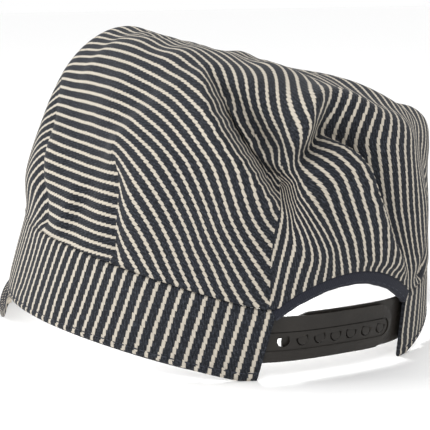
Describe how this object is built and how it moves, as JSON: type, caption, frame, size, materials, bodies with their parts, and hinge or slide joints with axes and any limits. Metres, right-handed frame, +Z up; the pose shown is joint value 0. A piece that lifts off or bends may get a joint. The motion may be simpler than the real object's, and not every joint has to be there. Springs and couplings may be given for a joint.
{
  "type": "railroad engineer cap",
  "caption": "Soft striped denim cap with a gathered slouched crown, a head band, a short curved visor and a snap strap across an arched opening at the back.",
  "frame": {"origin": "under the middle of the cap's box, on the surface the cap stands on", "axes": "+Z up, visor towards -Y, wearer's left towards +X"},
  "size_m": [0.1856, 0.2592, 0.1301],
  "materials": {
    "striped_denim": "navy denim twill with narrow cream stripes",
    "sweatband": "dark woven cotton",
    "binding": "navy cotton bias tape",
    "strap_plastic": "charcoal, satin"
  },
  "bodies": {
    "root": {"crown": "striped_denim", "head_band": "striped_denim", "sweatband": "sweatband", "visor": "striped_denim", "opening_binding": "binding", "snap_strap_holes": "strap_plastic", "snap_strap_posts": "strap_plastic"}
  },
  "joints": []
}
